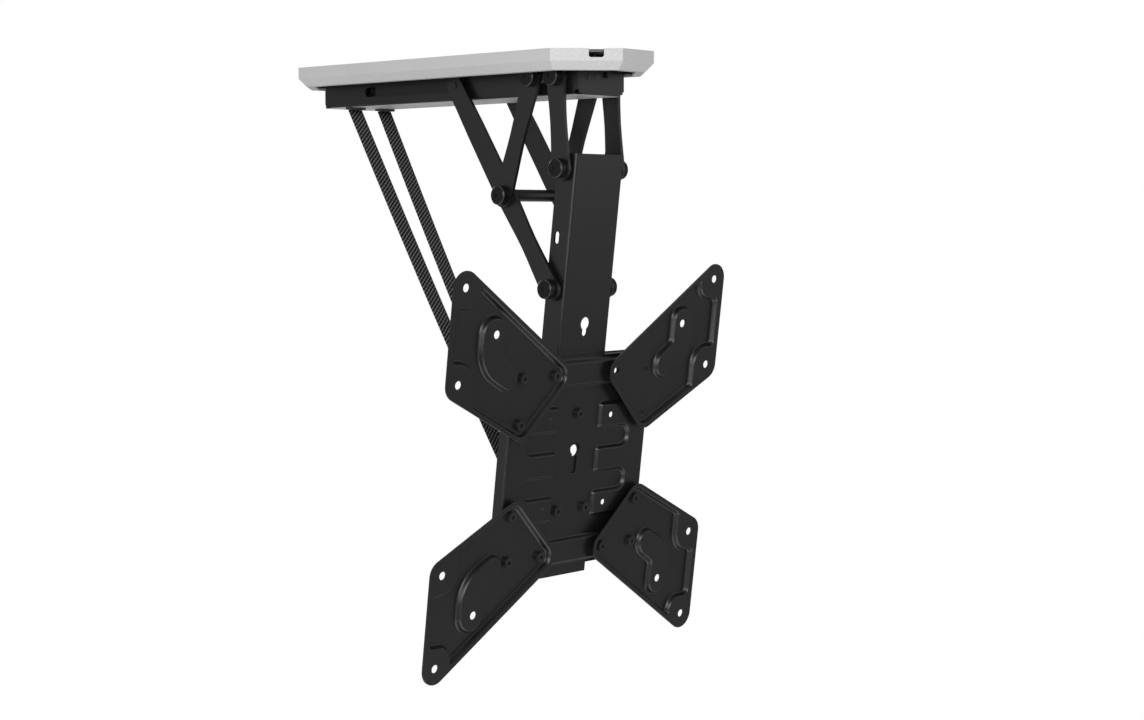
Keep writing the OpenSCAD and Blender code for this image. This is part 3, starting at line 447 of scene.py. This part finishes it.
# Pressed sheets, drawn in millimetres in the mast's frame: x to the right, y to the back, z up
MAST_TILT = math.radians(7.036709)
MAST_ORIGIN = (-177.013737, -445.815683)
SHEET = 2.0
# How far a cut edge is drawn in, and the rings of points beside it that keep the face flat there
EDGE_ROUND = 0.3
EDGE_RINGS = (0.0, 0.5, 1.0)
# The rings of points across a pressed wall, and half the wall's width
PRESS_RINGS = (-2.9, -2.2, -1.3, -0.5, 0.5, 1.3, 2.2, 2.9)
PRESS_HALF = 2.2
# How far each face lies behind the front of the mast
PAD_Y, FIELD_Y, CENTRE_Y, LOW_Y = -1.0, 5.1, 7.1, 11.5
ARC_STEP = 8.0
LEAST_RADIUS = 0.2
SHARP_ANGLE = math.radians(40)
MERGE_WITHIN = 1e-4


def mast_point(x, y, z):
    c, s = math.cos(MAST_TILT), math.sin(MAST_TILT)
    return Vector((x, MAST_ORIGIN[0] + y * c - z * s, MAST_ORIGIN[1] + y * s + z * c)) * MM


def neighbours(corners, i):
    """The corner before corner i, the corner itself and the one after it, as points."""
    after = corners[(i + 1) % len(corners)]
    return Vector(corners[i - 1][:2]), Vector(corners[i][:2]), Vector(after[:2])


def shrunk(corners, d):
    """Corners (x, z, radius), anticlockwise, moved inwards by d."""
    made = []
    for i, (_, _, radius) in enumerate(corners):
        a, p, b = neighbours(corners, i)
        first, second = (p - a).normalized(), (b - p).normalized()
        s, t = Vector((-first.y, first.x)), Vector((-second.y, second.x))
        q = p + (s + t) * d / (1 + s.dot(t))
        if radius:
            convex = first.x * second.y - first.y * second.x > 0
            radius = max(radius - d, LEAST_RADIUS) if convex else radius + d
        made.append((q.x, q.y, radius))
    return made


def swollen(points, radius):
    return [(x, z, radius) for x, z, _ in shrunk([(x, z, 0) for x, z in points], -radius)]


def rounded(corners):
    """The closed outline round corners (x, z, radius), with an arc at each."""
    made = []
    for i, (_, _, radius) in enumerate(corners):
        a, p, b = neighbours(corners, i)
        if radius == 0:
            made.append(p)
            continue
        u, v = (a - p).normalized(), (b - p).normalized()
        half = u.angle(v) / 2
        centre = p + (u + v).normalized() * radius / math.sin(half)
        start = p + u * radius / math.tan(half) - centre
        sweep = (math.pi - 2 * half) * math.copysign(1, v.x * u.y - v.y * u.x)
        count = max(2, math.ceil(abs(math.degrees(sweep)) / ARC_STEP))
        for k in range(count + 1):
            turn = sweep * k / count
            c, s = math.cos(turn), math.sin(turn)
            made.append(centre + Vector((start.x * c - start.y * s, start.x * s + start.y * c)))
    return made


def round_hole(x, z, radius, count=32):
    """A hole as a function of how much it is grown."""
    turns = [2 * math.pi * k / count for k in range(count)]

    def outline(grow):
        return [Vector((x + (radius + grow) * math.cos(turn), z + (radius + grow) * math.sin(turn)))
                for turn in turns]

    return outline


def is_inside(p, loop):
    hit = False
    for a, b in zip(loop, loop[1:] + loop[:1]):
        if (a.y > p.y) != (b.y > p.y) and p.x < a.x + (b.x - a.x) * (p.y - a.y) / (b.y - a.y):
            hit = not hit
    return hit


def signed_distance(p, loop):
    """Distance to a closed outline, positive inside it."""
    best = math.inf
    for a, b in zip(loop, loop[1:] + loop[:1]):
        run = b - a
        at = max(0.0, min(1.0, (p - a).dot(run) / max(run.length_squared, 1e-12)))
        best = min(best, (a + run * at - p).length)
    return best if is_inside(p, loop) else -best


def step_up(distance):
    """A smooth rise from 0 to 1 across a pressed wall."""
    t = max(0.0, min(1.0, 0.5 + distance / (2 * PRESS_HALF)))
    return t * t * t * (t * (6 * t - 15) + 10)


def sheet_faces(outline, holes, contours, lines):
    """Flat points and faces between the outline and the holes, fine along every wall and edge."""
    loops = [rounded(shrunk(outline, d)) for d in EDGE_RINGS]
    outer, inners = loops[0], [hole(0.0) for hole in holes]
    for hole in holes:
        loops += [hole(d) for d in EDGE_RINGS]
    for contour in contours:
        loops += [rounded(shrunk(contour, d)) for d in PRESS_RINGS]
    points, edges = [], []
    for loop in loops:
        first = len(points)
        points += loop
        edges += [(first + k, first + (k + 1) % len(loop)) for k in range(len(loop))]
    for line in lines:
        edges.append((len(points), len(points) + 1))
        points += [Vector(end) for end in line]
    flat, _, faces, *_ = delaunay_2d_cdt(points, edges, [], 0, MERGE_WITHIN)
    kept = []
    for face in faces:
        middle = sum((flat[k] for k in face), Vector((0, 0))) / len(face)
        if is_inside(middle, outer) and not any(is_inside(middle, inner) for inner in inners):
            kept.append(tuple(face))
    return flat, kept


def border(faces):
    """The edges that only one face uses."""
    uses = {}
    for face in faces:
        for a, b in zip(face, face[1:] + face[:1]):
            uses.setdefault(frozenset((a, b)), []).append((a, b))
    return [pairs[0] for pairs in uses.values() if len(pairs) == 1]


def pressed_sheet(name, node, outline, holes, contours, depth, place, lines=()):
    """A closed sheet whose front follows depth(p).

    place(p, y, inwards) puts a point of it in the mast's frame."""
    flat, kept = sheet_faces(outline, holes, contours, lines)
    rim = border(kept)
    on_rim = {k for pair in rim for k in pair}
    used = sorted({k for face in kept for k in face})
    index = {k: i for i, k in enumerate(used)}
    count = len(used)
    vertices = []
    for back in (0, 1):
        for k in used:
            y = depth(flat[k])
            inset = EDGE_ROUND if k in on_rim else 0.0
            vertices.append(mast_point(*place(flat[k], y, SHEET - inset if back else inset)))
    polygons = [tuple(index[k] for k in face) for face in kept]
    polygons += [tuple(index[k] + count for k in reversed(face)) for face in kept]
    polygons += [(index[b], index[a], index[a] + count, index[b] + count) for a, b in rim]
    made = mesh_object(name, vertices, polygons, LOOKS["frame_black"], "mast")
    work = bmesh.new()
    work.from_mesh(made.data)
    bmesh.ops.recalc_face_normals(work, faces=work.faces)
    work.to_mesh(made.data)
    work.free()
    for polygon in made.data.polygons:
        polygon.use_smooth = True
    made.data.set_sharp_from_angle(angle=SHARP_ANGLE)
    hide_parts(node)


# The upper right screen arm, from the middle of the screen plate; the others mirror it
ARM_CORNERS = [(200, 200), (50, 100), (100, 50), (200, 100)]
ARM_EDGE, FIELD_EDGE = 17.5, 11.5
ARM_FIX_HOLES, ARM_FIX_RADIUS = ((50, 100), (100, 100), (100, 50)), 4.0
ARM_SCREEN_HOLES, ARM_SCREEN_RADIUS = ((200, 200), (200, 100), (150, 150)), 4.5
# The raised pads round the two corner holes that the pressed field leaves out
PAD_ROW, PAD_TOP, PAD_RADIUS, PAD_X, BULGE_X = 100, 200, 22.5, 177.5, 209.5
# The kidney-shaped pad, from the hole in its middle: x, z, corner radius
KIDNEY_MIDDLE = 150
KIDNEY = (
    (-37.5, -69.5, 13), (19.5, -39, 42), (19.5, 18, 17.5), (-13.5, 18, 13), (-13, -21, 8),
    (-37.5, -37.3, 15))


def height_at(a, b, x):
    return a[1] + (b[1] - a[1]) * (x - a[0]) / (b[0] - a[0])


def add_screen_arms():
    outline = swollen(ARM_CORNERS, ARM_EDGE)
    inner = swollen(ARM_CORNERS, FIELD_EDGE)
    field = [
        (PAD_X, height_at(inner[2], inner[3], PAD_X), 5),
        (PAD_X, PAD_ROW + PAD_RADIUS, PAD_RADIUS),
        (BULGE_X, PAD_ROW + PAD_RADIUS, 5),
        (BULGE_X, PAD_TOP - PAD_RADIUS, 7),
        (PAD_X, PAD_TOP - PAD_RADIUS, PAD_RADIUS - 6),
        (PAD_X, height_at(inner[0], inner[1], PAD_X), 2),
        inner[1],
        inner[2],
    ]
    kidney = [(KIDNEY_MIDDLE + x, KIDNEY_MIDDLE + z, radius) for x, z, radius in KIDNEY]
    field_loop, kidney_loop = rounded(field), rounded(kidney)
    holes = [round_hole(x, z, ARM_FIX_RADIUS) for x, z in ARM_FIX_HOLES]
    holes += [round_hole(x, z, ARM_SCREEN_RADIUS) for x, z in ARM_SCREEN_HOLES]

    def depth(p):
        distance = min(signed_distance(p, field_loop), -signed_distance(p, kidney_loop))
        return PAD_Y + (FIELD_Y - PAD_Y) * step_up(distance)

    sides = ((-1, 1, "upper_left"), (1, 1, "upper_right"),
             (-1, -1, "lower_left"), (1, -1, "lower_right"))
    for sx, sz, side in sides:
        pressed_sheet(f"{side}_pressed_arm", f"vesa_arm_{side}", outline, holes, [field, kidney],
                      depth, lambda p, y, inwards: (sx * p.x, y + inwards, sz * p.y))


# The centre plate: half its size, the bend of its side flanges and their depth
PLATE_HALF_W, PLATE_HALF_H = 112.0, 119.5
PLATE_BEND, PLATE_FLANGE = 4.0, 14.0
BEND_LINES = 8
LINE_END = 1.2
PLATE_CORNER = 1.0
# Its sunk band with the four tongues that reach out of it on each side
TONGUE_ROWS = (-74.93, -24.98, 24.98, 74.93)
TONGUE_HALF, TONGUE_X, TONGUE_ROUND = 11.8, 83.0, 0.95
BAND_X, BAND_FILLET, STRIP_H = 34.0, 3.0, 6.5
# Its round holes, and its keyhole: radius, half the slot, the round's middle and the slot's end
PLATE_HOLES = ((50, 100), (100, 100), (100, 50), (50, 50))
SCREW_HOLES = ((0, 54.3), (-22.3, -53.6), (22.3, -53.6))
PLATE_HOLE_RADIUS, PLATE_HOLE_POINTS = 3.3, 24
KEY_RADIUS, KEY_SLOT, KEY_TOP, KEY_LOW = 7.5, 4.0, 15.0, -9.5
KEY_STEPS, KEY_END_STEPS = 28, 14


def sunk_outline():
    """The sunk band and its tongues as one outline, anticlockwise."""
    right = []
    radius = TONGUE_HALF * TONGUE_ROUND
    for i, row in enumerate(TONGUE_ROWS):
        right += [(TONGUE_X, row - TONGUE_HALF, radius), (TONGUE_X, row + TONGUE_HALF, radius)]
        if i < len(TONGUE_ROWS) - 1:
            right += [(BAND_X, row + TONGUE_HALF, BAND_FILLET),
                      (BAND_X, TONGUE_ROWS[i + 1] - TONGUE_HALF, BAND_FILLET)]
    return right + [(-x, z, radius) for x, z, radius in reversed(right)]


def keyhole(grow):
    key_r, slot = KEY_RADIUS + grow, KEY_SLOT + grow
    start = math.asin(slot / key_r)
    sweep = 2 * math.pi - 2 * start
    turns = [start + sweep * k / KEY_STEPS for k in range(KEY_STEPS + 1)]
    upper = [Vector((key_r * math.sin(turn), KEY_TOP - key_r * math.cos(turn))) for turn in turns]
    turns = [math.pi * k / KEY_END_STEPS for k in range(KEY_END_STEPS + 1)]
    lower = [Vector((-slot * math.cos(turn), KEY_LOW - slot * math.sin(turn))) for turn in turns]
    return upper + lower


def add_centre_plate():
    turn_at = PLATE_HALF_W - PLATE_BEND
    reach = turn_at + PLATE_BEND * math.pi / 2 + PLATE_FLANGE - PLATE_BEND
    signs = ((1, 1), (-1, 1), (-1, -1), (1, -1))
    outline = [(sx * reach, sz * PLATE_HALF_H, PLATE_CORNER) for sx, sz in signs]
    sunk = sunk_outline()
    sunk_loop = rounded(sunk)
    strip = PLATE_HALF_H - STRIP_H
    holes = [round_hole(sx * x, sz * z, PLATE_HOLE_RADIUS, PLATE_HOLE_POINTS)
             for sx in (-1, 1) for sz in (-1, 1) for x, z in PLATE_HOLES]
    holes += [round_hole(x, z, PLATE_HOLE_RADIUS, PLATE_HOLE_POINTS) for x, z in SCREW_HOLES]
    holes.append(keyhole)

    def depth(p):
        distance = max(signed_distance(p, sunk_loop), abs(p.y) - strip)
        return CENTRE_Y + (LOW_Y - CENTRE_Y) * step_up(distance)

    def place(p, y, inwards):
        """The flat sheet's point, with the sheet turned back round the bend at each side."""
        side, u = math.copysign(1, p.x), abs(p.x)
        if u <= turn_at:
            return p.x, y + inwards, p.y
        turn = min((u - turn_at) / PLATE_BEND, math.pi / 2)
        radius = PLATE_BEND - inwards
        straight = max(0.0, u - turn_at - PLATE_BEND * math.pi / 2)
        deep = min(y + PLATE_BEND - radius * math.cos(turn) + straight, CENTRE_Y + PLATE_FLANGE)
        return side * (turn_at + radius * math.sin(turn)), deep, p.y

    lines = []
    for side in (-1, 1):
        for k in range(BEND_LINES + 1):
            x = side * (turn_at + PLATE_BEND * math.pi / 2 * k / BEND_LINES)
            lines.append([(x, LINE_END - PLATE_HALF_H), (x, PLATE_HALF_H - LINE_END)])
        for d in PRESS_RINGS:
            z = side * (strip - d)
            lines.append([(LINE_END - reach, z), (reach - LINE_END, z)])
    pressed_sheet("centre_pressed_plate", "centre_plate", outline, holes, [sunk], depth, place,
                  lines)


# Each braided strap: distance from the middle at its top and foot, half its width, thickness and
# how far its middle sags to the back
SLEEVE_X = (23.2 * MM, 12.0 * MM)
SLEEVE_HALF = 10.7 * MM
SLEEVE_THICK = 2.2 * MM
SLEEVE_BOW = 4.5 * MM
SLEEVE_ROWS, SLEEVE_RING = 60, 20
# Powers that square off the strap's section, across it and through it
FLAT_ACROSS, FLAT_THROUGH = 0.35, 0.75


def flattened(value, power):
    return math.copysign(abs(value) ** power, value)


def add_sleeves():
    """Each strap's section is a flattened tube; its rows run from the beam down to the mast."""
    ring = SLEEVE_RING
    for side, name in ((-1, "sleeve_left"), (1, "sleeve_right")):
        low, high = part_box(name)
        top = Vector((side * SLEEVE_X[0], high[1], high[2]))
        bottom = Vector((side * SLEEVE_X[1], low[1], low[2]))
        run = bottom - top
        normal = Vector((0, -run.z, run.y)).normalized()
        vertices, uvs, faces = [], [], []
        for row in range(SLEEVE_ROWS + 1):
            at = row / SLEEVE_ROWS
            middle = top + run * at + normal * SLEEVE_BOW * math.sin(math.pi * at)
            for k in range(ring):
                turn = 2 * math.pi * k / ring
                across = flattened(math.cos(turn), FLAT_ACROSS) * SLEEVE_HALF
                lift = flattened(math.sin(turn), FLAT_THROUGH) * SLEEVE_THICK / 2
                vertices.append(middle + normal * lift + Vector((across, 0, 0)))
                uvs.append((across, at * run.length))
        for row in range(SLEEVE_ROWS):
            for k in range(ring):
                a, b = row * ring + k, row * ring + (k + 1) % ring
                faces.append((a, b, b + ring, a + ring))
        faces.append(tuple(range(ring - 1, -1, -1)))
        faces.append(tuple(SLEEVE_ROWS * ring + k for k in range(ring)))
        strap = mesh_object(f"{name}_braid", vertices, faces, LOOKS["braid_black"], "ceiling_unit",
                            uvs)
        for polygon in strap.data.polygons:
            polygon.use_smooth = True
        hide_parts(name)
        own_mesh(strap)


add_camera()
add_world()
add_floor()
for lamp_values in LAMPS:
    add_lamp(*lamp_values)

paint_nodes()
add_screen_arms()
add_centre_plate()
add_sleeves()

scene.view_settings.view_transform = "Standard"
